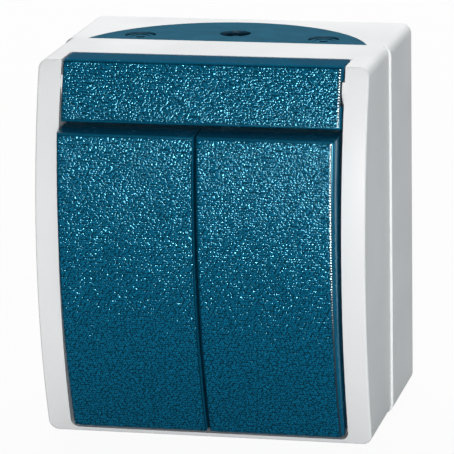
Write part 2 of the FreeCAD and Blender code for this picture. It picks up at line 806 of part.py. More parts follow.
def rocker_line(reach, inset):
    """Y of the rocker's arc, from the pivot, at a height above the pivot."""
    radius = rocker_radius - inset
    height = as_size(reach) - S.pivot_drop
    return rail_centre + pivot_depth - root(radius * radius - height * height)


def rocker_profile(sketch, back, top, bottom, inset):
    """Side view of the cap or of the hollow in it."""
    outline(sketch, [(back, -bottom), (back, top), (rocker_line(top, inset), top),
                     (rocker_line(-bottom, inset), -bottom)], {2: rocker_radius - inset})


def make_rocker(name, sign):
    body = new_body(f"rocker_{name}")
    back = pivot_depth - rocker_back_depth
    start, width = span(sign, rocker_inner, rocker_outer)
    sketch = new_sketch(body, "YZ_Plane", start)
    rocker_profile(sketch, back, rocker_top_reach, rocker_bottom_reach, 0)
    pad(body, sketch, width)
    for across, radius in ((rocker_outer, S.rocker_outer_corner), (rocker_inner, S.rocker_inner_corner)):
        fillet(body, radius, lambda edge: runs_along(edge, 1) and edge.BoundBox.ZMax < 0
               and abs(edge.BoundBox.XMin - across.number * sign) < 1e-3)
    fillet(body, S.rocker_edge_round, bounds_big_arc(body.Tip.Shape, rocker_radius))
    wall = S.rocker_skirt
    sketch = new_sketch(body, "YZ_Plane", start + width - wall)
    rocker_profile(sketch, back + wall, rocker_top_reach - wall, rocker_bottom_reach - wall, S.rocker_skin)
    pocket(body, sketch, width - wall * 2)
    skin_inside = rocker_line(0, S.rocker_skin / 2)
    outer_rib = outer_ear_far - S.ear_wall - S.ear_gap
    inner_rib = inner_ear_near + S.ear_wall + S.ear_gap
    for near, stud in ((outer_rib - S.ear_wall, outer_rib), (inner_rib, inner_rib - S.stud_length)):
        begin, length = span(sign, near, near + S.ear_wall)
        sketch = new_sketch(body, "YZ_Plane", begin)
        points, arcs = tab_points(-skin_inside, as_size(0), as_size(0), ear_radius)
        mirrored = [(-across, along) for across, along in reversed(points)]
        outline(sketch, mirrored, {1: ear_radius, 2: ear_radius})
        pad(body, sketch, length)
        begin, length = span(sign, stud, stud + S.stud_length)
        sketch = new_sketch(body, "YZ_Plane", begin)
        circle(sketch, 0, 0, S.stud_radius)
        pad(body, sketch, length)
    tip = pivot_depth - pusher_tip_depth
    left, width = span(sign, pole_offset - S.pusher_width / 2, pole_offset + S.pusher_width / 2)
    for level in (S.pusher_offset, -S.pusher_offset):
        sketch = new_sketch(body, "XZ_Plane", -tip)
        rectangle(sketch, left, left + width, level - S.pusher_height / 2, level + S.pusher_height / 2)
        pad(body, sketch, tip - rocker_line(level, S.rocker_skin / 2))
    place(body, 0, pivot_depth, -S.pivot_drop, S.rocker_tilt)
    return body


def make_splash_membrane():
    body = new_body("splash_membrane")
    sketch = new_sketch(body, "XZ_Plane", web_depth)
    rectangle(sketch, -membrane_half_width, membrane_half_width,
              -S.membrane_half_height - S.pivot_drop, S.membrane_half_height - S.pivot_drop)
    pad(body, sketch, S.membrane_wall, reverse=True)
    return body


# Switch block: socket, bridge, terminals


def make_insert_socket():
    body = new_body("insert_socket")
    sketch = new_sketch(body, "XZ_Plane", S.insert_seat)
    rectangle(sketch, -insert_half_width, insert_half_width, -S.insert_low, S.insert_high)
    pad(body, sketch, insert_front - S.insert_seat)
    sketch = new_sketch(body, "XZ_Plane", S.insert_seat)
    ear = insert_half_width + S.insert_ear_reach
    half = S.insert_ear_half_height
    rectangle(sketch, -ear, ear, -S.pivot_drop - half, half - S.pivot_drop)
    pad(body, sketch, S.insert_ear_wall)
    depth = insert_front - block_floor
    sketch = new_sketch(body, "XZ_Plane", insert_front)
    room = S.terminal_half_width + S.terminal_clearance
    for sign in SIDES.values():
        left, width = span(sign, pole_offset - S.chamber_half_width, pole_offset + S.chamber_half_width)
        rectangle(sketch, left, left + width, -S.chamber_low, S.chamber_high)
    for middle in (-terminal_offset, as_size(0), terminal_offset):
        rectangle(sketch, middle - room, middle + room,
                  S.terminal_low - S.terminal_clearance, S.terminal_high + S.terminal_clearance)
    pocket(body, sketch, depth)
    sketch = new_sketch(body, "XZ_Plane", insert_front)
    channel = S.strip_half_width + S.channel_clearance
    cross = S.strip_cross_height + S.channel_clearance
    rectangle(sketch, -channel, channel, -S.pivot_drop - cross, S.terminal_low)
    pocket(body, sketch, depth)
    sketch = new_sketch(body, "XZ_Plane", insert_front)
    rectangle(sketch, -pole_offset, pole_offset, -S.pivot_drop - cross, cross - S.pivot_drop)
    pocket(body, sketch, depth)
    sketch = new_sketch(body, "XZ_Plane", insert_front)
    slot = S.contact_half_width + S.channel_clearance
    for sign in SIDES.values():
        rectangle(sketch, pole_offset * sign - slot, pole_offset * sign + slot, S.contact_low, S.terminal_low)
    pocket(body, sketch, depth)
    sketch = new_sketch(body, "XY_Plane", S.insert_high)
    for middle in (-terminal_offset, as_size(0), terminal_offset):
        circle(sketch, middle, -wire_depth(), S.wire_radius)
    pocket(body, sketch, S.insert_high - S.terminal_high)
    sketch = new_sketch(body, "XZ_Plane", S.insert_seat + S.insert_ear_wall)
    for sign in SIDES.values():
        circle(sketch, insert_ear_centre * sign, -S.pivot_drop, S.insert_screw_radius + S.screw_pass)
    pocket(body, sketch, S.insert_ear_wall)
    return body


def wire_depth():
    """Depth at which the wires enter the terminals."""
    return (block_floor + terminal_front - terminal_screw_length + S.strip_wall) / 2


def make_bearing_bridge():
    body = new_body("bearing_bridge")
    sketch = new_sketch(body, "XZ_Plane", insert_front)
    rectangle(sketch, -insert_half_width, insert_half_width, -S.insert_low, S.insert_high)
    pad(body, sketch, S.bridge_wall)
    sketch = new_sketch(body, "XZ_Plane", bridge_front)
    tall = S.cradle_column_half + S.cradle_window_gap
    for sign in SIDES.values():
        left, width = span(sign, pole_offset - S.cradle_half_width - S.cradle_ear_gap,
                           pole_offset + S.cradle_half_width + S.cradle_ear_gap)
        rectangle(sketch, left, left + width, -S.pivot_drop - tall, tall - S.pivot_drop)
    for middle in (-terminal_offset, as_size(0), terminal_offset):
        circle(sketch, middle, (S.terminal_low + S.terminal_high) / 2, S.access_radius)
    pocket(body, sketch, S.bridge_wall)
    for sign in SIDES.values():
        for flank in SIDES.values():
            begin, length = span(flank, cradle_ear_near, cradle_ear_near + S.cradle_ear_wall)
            sketch = new_sketch(body, "YZ_Plane", pole_offset * sign + begin)
            outline(sketch, *tab_points(-bridge_front, -cradle_depth, -S.pivot_drop, cradle_ear_radius))
            circle(sketch, -cradle_depth, -S.pivot_drop, S.cradle_stud_radius + S.pin_clearance)
            pad(body, sketch, length)
    return body


def add_clamp(body, middle):
    """Block of a terminal with its wire hole and screw hole."""
    back = block_floor + S.strip_seat
    sketch = new_sketch(body, "XZ_Plane", back)
    half = S.terminal_half_width
    rectangle(sketch, middle - half, middle + half, S.terminal_low, S.terminal_high)
    pad(body, sketch, terminal_front - back)
    sketch = new_sketch(body, "XY_Plane", S.terminal_high)
    circle(sketch, middle, -wire_depth(), S.wire_radius)
    pocket(body, sketch, S.terminal_high - S.terminal_low)
    sketch = new_sketch(body, "XZ_Plane", terminal_front)
    screw_height = (S.terminal_low + S.terminal_high) / 2
    circle(sketch, middle, screw_height, S.terminal_screw_radius + S.screw_clearance)
    pocket(body, sketch, terminal_screw_length + S.screw_pass)


def make_line_terminal():
    body = new_body("line_terminal")
    back = block_floor + S.strip_seat
    low = -S.pivot_drop - S.strip_cross_height
    high = S.strip_cross_height - S.pivot_drop
    bar, cross = S.strip_half_width, strip_cross_half
    sketch = new_sketch(body, "XZ_Plane", back)
    outline(sketch, [(-cross, low), (cross, low), (cross, high), (bar, high), (bar, S.terminal_high),
                     (-bar, S.terminal_high), (-bar, high), (-cross, high)])
    pad(body, sketch, S.strip_wall)
    sketch = new_sketch(body, "XZ_Plane", back)
    for sign in SIDES.values():
        left, width = span(sign, pole_offset - S.lever_half_width, strip_cross_half)
        half = S.fulcrum_wall / 2
        rectangle(sketch, left, left + width, -S.pivot_drop - half, half - S.pivot_drop)
    pad(body, sketch, fulcrum_depth - S.fulcrum_gap - back)
    add_clamp(body, as_size(0))
    return body


def lever_contact_depth():
    """Depth of the lever's back at its end when the contact is closed."""
    bend, arm = S.lever_bend, S.lever_arm
    swing = Size(math.sin(math.radians(S.lever_tilt.number)), f"sin({S.lever_tilt.formula} * 1 deg)")
    return fulcrum_depth + bend - arm * swing


def make_output_terminal(name, sign):
    body = new_body(f"output_terminal_{name}")
    add_clamp(body, terminal_offset * sign)
    face = lever_contact_depth() - S.contact_gap
    sketch = new_sketch(body, "XZ_Plane", face)
    left, width = span(sign, pole_offset - S.contact_half_width, pole_offset + S.contact_half_width)
    rectangle(sketch, left, left + width, S.contact_low, S.terminal_low)
    pad(body, sketch, S.strip_wall, reverse=True)
    return body


# Moving pieces of the switch block, drawn about their own pivots


def make_contact_lever(name, sign):
    body = new_body(f"contact_lever_{name}")
    arm, wall, bend, flat = S.lever_arm, S.lever_wall, S.lever_bend, S.lever_flat
    sketch = new_sketch(body, "YZ_Plane", -S.lever_half_width)
    outline(sketch, [(0, -flat), (0, flat), (-bend, arm), (-bend - wall, arm), (-wall, flat), (-wall, -flat),
                     (-bend - wall, -arm), (-bend, -arm)])
    pad(body, sketch, S.lever_half_width * 2)
    place(body, pole_offset * sign, fulcrum_depth, -S.pivot_drop, -S.lever_tilt)
    return body


def make_cradle(name, sign):
    body = new_body(f"cradle_{name}")
    front, bar, column = -S.cradle_bar_front, S.cradle_bar_half, S.cradle_column_half
    shoulder = front + S.cradle_bar_wall
    rear = cradle_column_rear
    sketch = new_sketch(body, "YZ_Plane", -S.cradle_half_width)
    outline(sketch, [(front, -bar), (shoulder, -bar), (shoulder, -column), (rear, -column), (rear, column),
                     (shoulder, column), (shoulder, bar), (front, bar)])
    pad(body, sketch, S.cradle_half_width * 2)
    reach = S.cradle_half_width + S.cradle_stud_length
    sketch = new_sketch(body, "YZ_Plane", -reach)
    circle(sketch, 0, 0, S.cradle_stud_radius)
    pad(body, sketch, reach * 2)
    sketch = new_sketch(body, "XZ_Plane", -rear)
    circle(sketch, 0, 0, S.plunger_radius + S.plunger_clearance)
    pocket(body, sketch, rear - plunger_front + spring_length, reverse=True)
    place(body, pole_offset * sign, cradle_depth, -S.pivot_drop, S.rocker_tilt)
    return body


def make_plunger(name, sign):
    body = new_body(f"plunger_{name}")
    tip, radius = S.plunger_tip_radius, S.plunger_radius
    sketch = new_sketch(body, "YZ_Plane", 0)
    outline(sketch, [(plunger_front, 0), (plunger_tip_reach, 0), (plunger_tip_reach - tip, tip),
                     (plunger_shoulder, tip), (plunger_shoulder, radius), (plunger_front, radius)], {1: tip})
    revolve(body, sketch)
    place(body, pole_offset * sign, cradle_depth, -S.pivot_drop, S.rocker_tilt)
    return body


def make_plunger_spring(name, sign):
    """Coil between the plunger and the bottom of its bore, wound as a circle swept along a helix."""
    wire = S.spring_wire
    rise = spring_length - wire * 4
    helix = doc.addObject("Part::Helix", f"coil_{name}")
    bind(helix, "Radius", S.spring_radius)
    bind(helix, "Height", rise)
    bind(helix, "Pitch", S.spring_pitch)
    section = doc.addObject("Part::Circle", f"wire_{name}")
    bind(section, "Radius", wire)
    section.Placement = FreeCAD.Placement(
        FreeCAD.Vector(0, 0, 0), FreeCAD.Rotation(FreeCAD.Vector(1, 0, 0), 90))
    bind(section, "Placement.Base.x", S.spring_radius)
    doc.recompute()
    label = f"plunger_spring_{name}"
    coil = doc.addObject("Part::Sweep", label)
    coil.Label = label
    coil.Sections = [section]
    coil.Spine = (helix, ["Edge1"])
    coil.Solid = True
    coil.Frenet = True
    doc.recompute()
    tilt = S.rocker_tilt
    reach = plunger_front - spring_length + wire * 2
    lift = Size(math.sin(math.radians(tilt.number)), f"sin({tilt.formula} * 1 deg)")
    along = Size(math.cos(math.radians(tilt.number)), f"cos({tilt.formula} * 1 deg)")
    place(coil, pole_offset * sign, cradle_depth - reach * along, reach * lift - S.pivot_drop, tilt - 90)
    return coil


# Screws: turned profiles with a slot, grouped by kind


def make_screw(name, across, height, seat, length, radius, head_radius, head):
    body = new_body(name)
    point = radius
    sketch = new_sketch(body, "YZ_Plane", 0)
    outline(sketch, [(-seat - head, 0), (length - seat, 0), (length - seat - point, radius), (-seat, radius),
                     (-seat, head_radius), (-seat - head, head_radius)])
    revolve(body, sketch)
    sketch = new_sketch(body, "XZ_Plane", seat + head)
    rectangle(sketch, -head_radius, head_radius, -S.screw_slot / 2, S.screw_slot / 2)
    pocket(body, sketch, S.screw_slot_depth)
    place(body, across, 0, height)
    return body


def make_screw_group(label, places, seat, length, radius, head_radius, head):
    screws = [make_screw(f"{label}_{number}", across, height, seat, length, radius, head_radius, head)
              for number, (across, height) in enumerate(places, 1)]
    group = doc.addObject("Part::Compound", label)
    group.Label = label
    group.Links = screws
    return group


parts["base_box"] = make_base_box()
parts["cable_entry_seal"] = make_cable_entry_seal()
parts["rim_gasket"] = make_rim_gasket()
parts["front_frame"] = make_front_frame()
parts["cover_flap"] = make_cover_flap()
parts["splash_membrane"] = make_splash_membrane()
parts["insert_socket"] = make_insert_socket()
parts["bearing_bridge"] = make_bearing_bridge()
parts["line_terminal"] = make_line_terminal()
for side_name, side_sign in SIDES.items():
    parts[f"rocker_{side_name}"] = make_rocker(side_name, side_sign)
    parts[f"output_terminal_{side_name}"] = make_output_terminal(side_name, side_sign)
    parts[f"contact_lever_{side_name}"] = make_contact_lever(side_name, side_sign)
    parts[f"cradle_{side_name}"] = make_cradle(side_name, side_sign)
    parts[f"plunger_{side_name}"] = make_plunger(side_name, side_sign)
    parts[f"plunger_spring_{side_name}"] = make_plunger_spring(side_name, side_sign)
parts["frame_screws"] = make_screw_group(
    "frame_screws", [(frame_screw_offset * sign, frame_screw_height) for sign in SIDES.values()],
    web_front, S.frame_screw_length, S.frame_screw_radius, S.frame_screw_head_radius, S.frame_screw_head)
parts["insert_screws"] = make_screw_group(
    "insert_screws", [(insert_ear_centre * sign, -S.pivot_drop) for sign in SIDES.values()],
    S.insert_seat + S.insert_ear_wall, S.insert_screw_length, S.insert_screw_radius,
    S.insert_screw_head_radius, S.insert_screw_head)
parts["terminal_screws"] = make_screw_group(
    "terminal_screws",
    [(terminal_offset * step, (S.terminal_low + S.terminal_high) / 2) for step in (-1, 0, 1)],
    terminal_front, terminal_screw_length, S.terminal_screw_radius,
    S.terminal_screw_head_radius, S.terminal_screw_head)

doc.recompute()
for item in doc.Objects:
    if "Invalid" in item.State or "Error" in item.State:
        raise RuntimeError(f"{item.Label} failed: {item.State}")
for label, item in parts.items():
    if item.Shape.isNull() or not item.Shape.isValid():
        raise RuntimeError(f"{label} has no valid shape")

os.makedirs("parts", exist_ok=True)
for label, item in parts.items():
    item.Shape.exportStep(f"parts/{label}.step")
    box = item.Shape.BoundBox
    print(f"{label}: {len(item.Shape.Solids)} solid, {item.Shape.Volume:.1f} mm3, "
          f"X {box.XMin:.2f} to {box.XMax:.2f}, Y {box.YMin:.2f} to {box.YMax:.2f}, "
          f"Z {box.ZMin:.2f} to {box.ZMax:.2f}")
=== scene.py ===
# %% [markdown]
# # A weatherproof double switch, dressed for a studio picture
#
# The switch is a white box that is screwed to an outdoor wall. Two blue rockers fill its front, a blue
# flap above them hides the fixing screws, and a soft blue insert on top lets the cables in. The shapes
# come from a solid model, so this lesson is about finishes, light and the camera, and about the one form
# that is too fine for a solid model: the grain of the blue fronts.
#
# The first cell loads that model. Each piece arrives as an object of its own, already in its place.

# %% Load the solid model
import math

import bpy
import numpy as np
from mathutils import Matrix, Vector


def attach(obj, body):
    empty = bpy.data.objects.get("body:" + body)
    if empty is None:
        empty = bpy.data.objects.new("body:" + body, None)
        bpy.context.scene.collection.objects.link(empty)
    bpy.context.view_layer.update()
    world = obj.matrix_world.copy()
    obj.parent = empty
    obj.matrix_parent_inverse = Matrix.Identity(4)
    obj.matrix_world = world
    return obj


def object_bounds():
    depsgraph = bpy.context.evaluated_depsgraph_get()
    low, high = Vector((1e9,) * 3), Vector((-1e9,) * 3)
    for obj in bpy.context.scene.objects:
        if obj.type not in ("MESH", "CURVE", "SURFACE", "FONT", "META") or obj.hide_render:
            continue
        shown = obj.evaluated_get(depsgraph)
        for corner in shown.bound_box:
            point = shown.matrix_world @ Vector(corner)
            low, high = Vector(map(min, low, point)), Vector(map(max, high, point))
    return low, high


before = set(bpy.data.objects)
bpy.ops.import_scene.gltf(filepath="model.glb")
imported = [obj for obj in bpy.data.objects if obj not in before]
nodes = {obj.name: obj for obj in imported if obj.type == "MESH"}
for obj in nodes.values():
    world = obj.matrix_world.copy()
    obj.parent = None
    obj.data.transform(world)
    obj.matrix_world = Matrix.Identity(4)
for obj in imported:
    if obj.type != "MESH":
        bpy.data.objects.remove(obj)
solid_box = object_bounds()


def in_mm(lengths):
    """Lengths in metres as millimetres, to two places."""
    return [round(length * 1000, 2) for length in lengths]


print(len(nodes), "pieces, box in mm:", [in_mm(corner) for corner in solid_box])

# %% [markdown]
# ## Smooth curves, crisp edges
#
# A solid model comes as loose triangles, so a curved front would shade as flat strips. We could rebuild
# each shape, but two modifiers do the same without touching the mesh: Weld joins the triangles again, and
# Edge Split keeps the edges sharp where two faces meet at a real angle.

# %% Smooth shading on every piece of the model
SHARP_ANGLE = math.radians(24)
WELD_REACH = 1e-6


def shade_smooth(piece):
    """Join the triangles, then split them where neighbours differ by more than the sharp angle."""
    faces = len(piece.data.polygons)
    piece.data.polygons.foreach_set("use_smooth", np.ones(faces, dtype=bool))
    weld = piece.modifiers.new("join_triangles", "WELD")
    weld.merge_threshold = WELD_REACH
    split = piece.modifiers.new("keep_edges", "EDGE_SPLIT")
    split.split_angle = SHARP_ANGLE
    return faces


print("smoothed", sum(shade_smooth(piece) for piece in nodes.values()), "triangles")

# %% [markdown]
# ## Helpers for finishes
#
# A finish is a small network of nodes. The patterns read Object coordinates, which are metres in the model's
# own frame: a pattern then stays on its piece when the piece moves. A scale of 2000 means that one cell of
# the pattern is half a millimetre wide. Noise runs from 0 to 1, but nearly all of it lies in the middle, so
# that middle span is what we stretch.

# %% A new material and a shorthand for its nodes
NOISE_SPAN = (0.3, 0.7)


def tinted(colour, factor):
    """A colour made lighter or darker by a factor."""
    return tuple(min(channel * factor, 1.0) for channel in colour)


class Finish:
    """A material with its shader, and short ways to add nodes and join them."""

    def __init__(self, name, colour, roughness, metallic=0.0):
        self.material = bpy.data.materials.new(name)
        self.material.use_nodes = True
        self.tree = self.material.node_tree
        self.shader = self.tree.nodes["Principled BSDF"]
        self.shader.inputs["Base Color"].default_value = (*colour, 1.0)
        self.shader.inputs["Roughness"].default_value = roughness
        self.shader.inputs["Metallic"].default_value = metallic
        self.place = self.add("ShaderNodeTexCoord").outputs["Object"]

    def add(self, kind, **settings):
        """A new node of a kind, with its settings."""
        node = self.tree.nodes.new(kind)
        for key, value in settings.items():
            setattr(node, key, value)
        return node

    def join(self, output, target):
        """A wire from one socket to another."""
        self.tree.links.new(output, target)

    def attribute(self, name):
        """A value that the mesh carries at each of its points."""
        return self.add("ShaderNodeAttribute", attribute_name=name).outputs["Fac"]

    def noise(self, scale, detail=3.0, place=None):
        """Cloudy noise with one cloud per 1/scale metres."""
        node = self.add("ShaderNodeTexNoise")
        node.inputs["Scale"].default_value = scale
        node.inputs["Detail"].default_value = detail
        self.join(self.place if place is None else place, node.inputs["Vector"])
        return node.outputs["Fac"]

    def ramp(self, value, low, high, dark, light):
        """Map value from low..high to a colour between dark and light."""
        node = self.add("ShaderNodeValToRGB")
        node.color_ramp.elements[0].position = low
        node.color_ramp.elements[1].position = high
        node.color_ramp.elements[0].color = (*dark, 1.0)
        node.color_ramp.elements[1].color = (*light, 1.0)
        self.join(value, node.inputs["Fac"])
        return node.outputs["Color"]

    def shade(self, pattern, span, dark, light):
        """Let the colour follow a pattern over its span, from dark to light."""
        self.join(self.ramp(pattern, *span, dark, light), self.shader.inputs["Base Color"])

    def roughen(self, noise, smoothest, roughest):
        """Let the roughness follow a noise, with soft ends, and hold it there outside the span."""
        node = self.add("ShaderNodeMapRange", interpolation_type="SMOOTHSTEP")
        limits = dict(zip(("From Min", "From Max", "To Min", "To Max"), (*NOISE_SPAN, smoothest, roughest)))
        for socket, limit in limits.items():
            node.inputs[socket].default_value = limit
        self.join(noise, node.inputs["Value"])
        self.join(node.outputs["Result"], self.shader.inputs["Roughness"])

    def bump(self, height, strength, distance):
        """Tilt the surface by a height, given in metres by the distance."""
        node = self.add("ShaderNodeBump")
        node.inputs["Strength"].default_value = strength
        node.inputs["Distance"].default_value = distance
        self.join(height, node.inputs["Height"])
        self.join(node.outputs["Normal"], self.shader.inputs["Normal"])


print("patterns are stretched over", NOISE_SPAN)

# %% [markdown]
# ## The white housing
#
# The box and its frame are moulded in a weather-resistant white plastic with a fine satin surface. Real
# mouldings are never one flat value: the gloss wanders a little, and a very fine spark texture from the
# mould breaks up the reflections. A painted texture could show both, but noise has no seams. We use two,
# with clouds of nearly two centimetres and with specks of a quarter millimetre.

# %% White moulding
WHITE = (0.83, 0.84, 0.845)


def satin_moulding(name, colour, roughness):
    """Moulded plastic: tone and gloss wander with wide clouds, and fine specks tilt the surface."""
    finish = Finish(name, colour, roughness)
    clouds = finish.noise(scale=60.0, detail=4.0)
    finish.shade(clouds, NOISE_SPAN, dark=tinted(colour, 0.985), light=tinted(colour, 1.01))
    finish.roughen(clouds, smoothest=roughness - 0.04, roughest=roughness + 0.05)
    finish.bump(finish.noise(scale=4000.0, detail=2.0), strength=0.12, distance=0.00002)
    return finish.material


housing_white = satin_moulding("housing_white", WHITE, roughness=0.42)
print("made", housing_white.name)

# %% [markdown]
# ## The blue of rockers and flap
#
# The controls are petrol blue. Their sides, tops and rounded rims come from polished parts of the mould, so
# they are smooth. That smooth blue goes on the solids. The fronts carry a coarse grain, which comes next.
# Both share one colour and one gloss, so one function starts them, and each adds its own detail.

# %% Smooth blue
PETROL = (0.002, 0.091, 0.172)
GLINT_TINT = (0.24, 0.8, 1.0, 1.0)
BLUE_GLOSS = 0.9


def petrol_finish(name, roughness):
    """Petrol blue whose gloss leans to cyan."""
    finish = Finish(name, PETROL, roughness)
    finish.shader.inputs["Specular Tint"].default_value = GLINT_TINT
    finish.shader.inputs["Specular IOR Level"].default_value = BLUE_GLOSS
    return finish


def polished_blue(name):
    """Smooth petrol blue: tone and gloss wander with clouds of 7 mm, over a hardly visible unevenness."""
    finish = petrol_finish(name, roughness=0.24)
    clouds = finish.noise(scale=150.0)
    finish.shade(clouds, NOISE_SPAN, dark=tinted(PETROL, 0.9), light=tinted(PETROL, 1.06))
    finish.roughen(clouds, smoothest=0.2, roughest=0.28)
    finish.bump(finish.noise(scale=2500.0, detail=2.0), strength=0.1, distance=0.00001)
    return finish.material


control_blue = polished_blue("control_blue")
print("made", control_blue.name)

# %% [markdown]
# ## A grain that can be felt
#
# The fronts are etched with pebbles of half a millimetre, so that wet fingers don't slip, and under the lamps
# each pebble catches one glint. A bump map could fake that, but a bump is worked out from pixel to pixel, and
# seen from here a pebble is little more than two pixels wide. So the grain is a real skin, a grid of points
# with the height of a pebble at each, laid over the front of each control.
#
# A skin needs the curve of the front. We measure it on the solid: the front is the set of long strips that
# look forwards, and a circle is fitted to their corners.

# %% Measure the arc of a front
STRIP_AREA = 4e-6
LEAST_FORWARD, MOST_SIDEWAYS = 0.85, 1e-3


def read(items, field, width, kind=float):
    """One field of a mesh's faces or points, as an array with a row for each."""
    values = np.empty(len(items) * width, dtype=kind)
    items.foreach_get(field, values)
    return values.reshape(-1, width)


def front_arc(piece):
    """Fit y^2 + z^2 = 2 cy y + 2 cz z + c to the corners of the strips that look forwards, by least squares.

    The circle has its middle at (cy, cz), and its radius is the root of c + cy^2 + cz^2.
    """
    faces = piece.data.polygons
    normals, areas = read(faces, "normal", 3), read(faces, "area", 1)[:, 0]
    forwards = (normals[:, 1] < -LEAST_FORWARD) & (np.abs(normals[:, 0]) < MOST_SIDEWAYS)
    corners = read(faces, "vertices", 3, int)[forwards & (areas > STRIP_AREA)]
    spots = read(piece.data.vertices, "co", 3)[np.unique(corners)]
    sums = np.column_stack([2 * spots[:, 1:], np.ones(len(spots))])
    (cy, cz, rest), *_ = np.linalg.lstsq(sums, (spots[:, 1:] ** 2).sum(axis=1), rcond=None)
    radius = math.sqrt(rest + cy ** 2 + cz ** 2)
    error = np.abs(np.hypot(spots[:, 1] - cy, spots[:, 2] - cz) - radius).max()
    turns = np.arcsin((spots[:, 2] - cz) / radius)
    return (cy, cz, radius), (spots[:, 0].min(), spots[:, 0].max()), (turns.min(), turns.max()), error


for control in ("rocker_left", "rocker_right", "cover_flap"):
    (_, _, arc_radius), arc_width, arc_turn, arc_error = front_arc(nodes[control])
    print(control, "radius and width in mm", in_mm((arc_radius, *arc_width)),
          "turn", [round(math.degrees(turn), 2) for turn in arc_turn],
          "error", round(arc_error * 1e6, 1), "um")

# %% [markdown]
# Each pebble is a dome. The domes stand on a staggered grid that has been shaken, so that no rows show. Every
# pebble that reaches a point of the skin has its middle in the point's own cell or in one of the eight
# around it, so nine looks at whole arrays find the highest.

# %% Pebbles
PEBBLE_PITCH, PEBBLE_RISE, PEBBLE_SHAKE = 0.0005, 0.0002, 0.25
PEBBLE_REACH, LOWEST_PEBBLE = 0.62, 0.7
CELL_ACROSS, CELL_ALONG, ROW_STAGGER = 0.25, 0.5, 0.5
NEIGHBOURS = (-1, 0, 1)


def pebble_height(across, along, seed):
    """The highest of h (1 - (d / r)^2) over the pebbles around a point, and never below 0.

    h is a pebble's own height, from the lowest to 1, d the distance to its middle and r its reach, both in
    pitches.
    """
    column, row = np.floor(across / PEBBLE_PITCH), np.floor(along / PEBBLE_PITCH)
    shape = (int(row.max()) + len(NEIGHBOURS), int(column.max()) + len(NEIGHBOURS))
    draw = np.random.default_rng(seed)
    shake = draw.uniform(-PEBBLE_SHAKE, PEBBLE_SHAKE, (*shape, 2))
    size = draw.uniform(LOWEST_PEBBLE, 1.0, shape)
    highest = np.zeros(across.shape)
    for up in NEIGHBOURS:
        for aside in NEIGHBOURS:
            there = (row + up + 1).astype(int), (column + aside + 1).astype(int)
            stagger = ROW_STAGGER * ((row + up) % 2)
            off_x = across / PEBBLE_PITCH - (column + aside + CELL_ACROSS + stagger + shake[there][..., 0])
            off_z = along / PEBBLE_PITCH - (row + up + CELL_ALONG + shake[there][..., 1])
            dome = 1.0 - (off_x ** 2 + off_z ** 2) / PEBBLE_REACH ** 2
            highest = np.maximum(highest, size[there] * dome)
    return highest


trial_line = np.linspace(0, 20 * PEBBLE_PITCH, 200)
trial = pebble_height(*np.meshgrid(trial_line, trial_line), seed=1)
print("pebbles: mean height", round(float(trial.mean()), 2), "of", PEBBLE_RISE * 1e6, "um")

# %% [markdown]
# The skin is the front's arc plus the height of the pebbles. Where a land is asked for, the grain ends at the
# right in a narrow polished strip that slopes outwards, with a faint ripple, and a lamp draws a dotted bright
# line along it. At its border the skin dips under the solid, so no edge of it shows.

# %% The height of a grained skin
GRAIN_STEP, GRAIN_FADE, GRAIN_SINK = 0.000146, 0.0003, 0.00004
LAND_WIDTH, LAND_SLOPE, LAND_RIPPLE, LAND_PITCH = 0.0005, 0.15, 0.00005, 4 * GRAIN_STEP


def skin_reach(radius, across, along, land_width, seed):
    """Distance from the arc's middle: radius + rise of a pebble, or on the land radius + slope + ripple.

    The slope is in proportion to the distance from the side, and the ripple is a sine along the arc. Towards
    the border a fade from 1 to 0 multiplies the height, and (1 - fade) times the sink is taken off. A land
    fades at its ends alone, and sinks at its outermost line. Pebble height and land are given back too, for
    the finish.
    """
    aside = np.minimum(across, across.max() - across)
    ends = np.minimum(along, along.max() - along)
    inside = aside > 0.0
    land = (across > across.max() - land_width).astype(float)
    fade = np.clip(np.minimum(ends, np.where(land, GRAIN_FADE, aside)) / GRAIN_FADE, 0.0, 1.0)
    pebble = pebble_height(across, along, seed) * (1.0 - land) * fade
    ripple = LAND_SLOPE * aside + LAND_RIPPLE * np.sin(2 * np.pi * along / LAND_PITCH) * inside
    reach = radius + PEBBLE_RISE * pebble + ripple * land * fade - GRAIN_SINK * (1.0 - fade * inside)
    return reach, pebble, land


trial_reach, *_ = skin_reach(0.0, *np.meshgrid(trial_line, trial_line), LAND_WIDTH, seed=1)
print("skin: heights from", *np.round([trial_reach.min() * 1e6, trial_reach.max() * 1e6], 1), "um")

# %% [markdown]
# A skin that is only a sheet has no inside, and a printer or a simulator could do nothing with it. So a back
# and four sides close it. The back's rows are straight from side to side, so one strip per row is enough.

# %% Close a skin


def strips(one, other):
    """Four-cornered faces between two arrays of point numbers, from each row to the next."""
    return np.stack([one[:-1], other[:-1], other[1:], one[1:]], axis=-1).reshape(-1, 4).tolist()


def skin_faces(rows, columns):
    """Faces of the grid in front, then left side, right side, back, lower end and upper end."""
    grid = np.arange(rows * columns).reshape(rows, columns)
    back = rows * columns + np.arange(rows * 2).reshape(rows, 2)
    faces = strips(grid[:, :-1], grid[:, 1:])
    faces += strips(back[:, 0], grid[:, 0]) + strips(grid[:, -1], back[:, 1]) + strips(back[:, 1], back[:, 0])
    faces.append([*back[0].tolist(), *grid[0, ::-1].tolist()])
    faces.append([*back[-1, ::-1].tolist(), *grid[-1].tolist()])
    return faces


print("a skin of 3 x 3 points has", len(skin_faces(3, 3)), "faces")

# %% [markdown]
# Now the skin can be laid on a control: its grid is as wide as the strips that were measured, with a margin
# at each border, and it turns with the control.

# %% Lay a grain over a front
GRAIN_BACK = 0.0002


